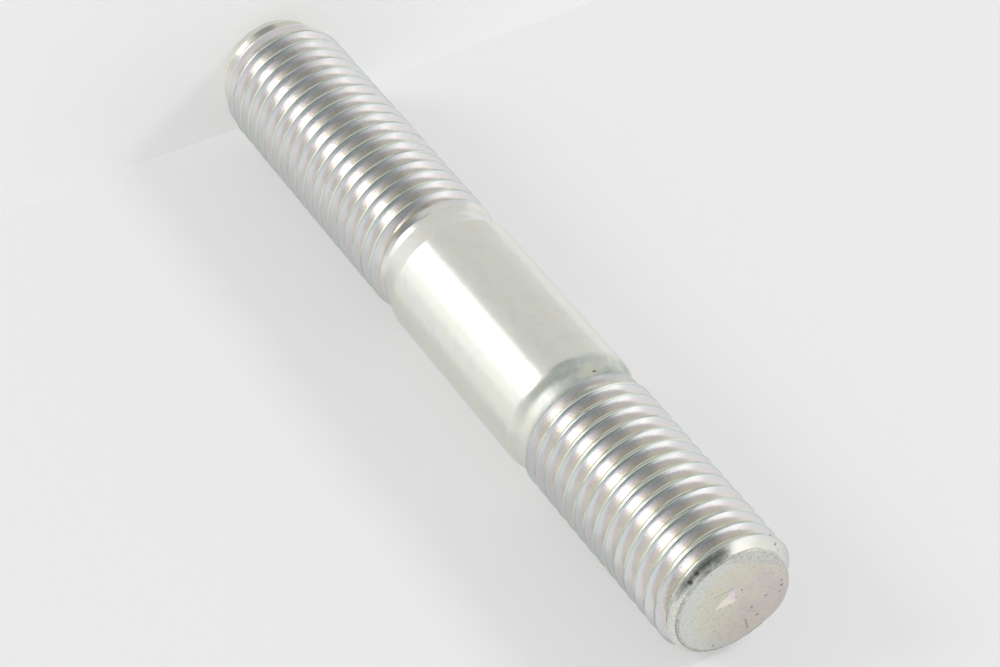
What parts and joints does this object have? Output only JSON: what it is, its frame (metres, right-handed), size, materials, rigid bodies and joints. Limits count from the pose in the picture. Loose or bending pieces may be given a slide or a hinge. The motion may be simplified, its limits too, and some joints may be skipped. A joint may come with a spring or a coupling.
{
  "type": "stud bolt",
  "caption": "Double-ended stud bolt with a thread at each end, a plain full-diameter shank with necked run-outs between them, and flat chamfered ends.",
  "frame": {"origin": "centre of the flat end face of the longer thread, on which the stud stands", "axes": "+Z along the stud, from the end of the longer thread to the end of the shorter thread; -Y is the side that the picture looks at"},
  "size_m": [0.012, 0.012, 0.077],
  "materials": {
    "zinc_plated_steel": "bright zinc plating, clear passivated, satin on the shank and smooth on the rolled threads"
  },
  "bodies": {
    "root": {"stud": "zinc_plated_steel"}
  },
  "joints": []
}
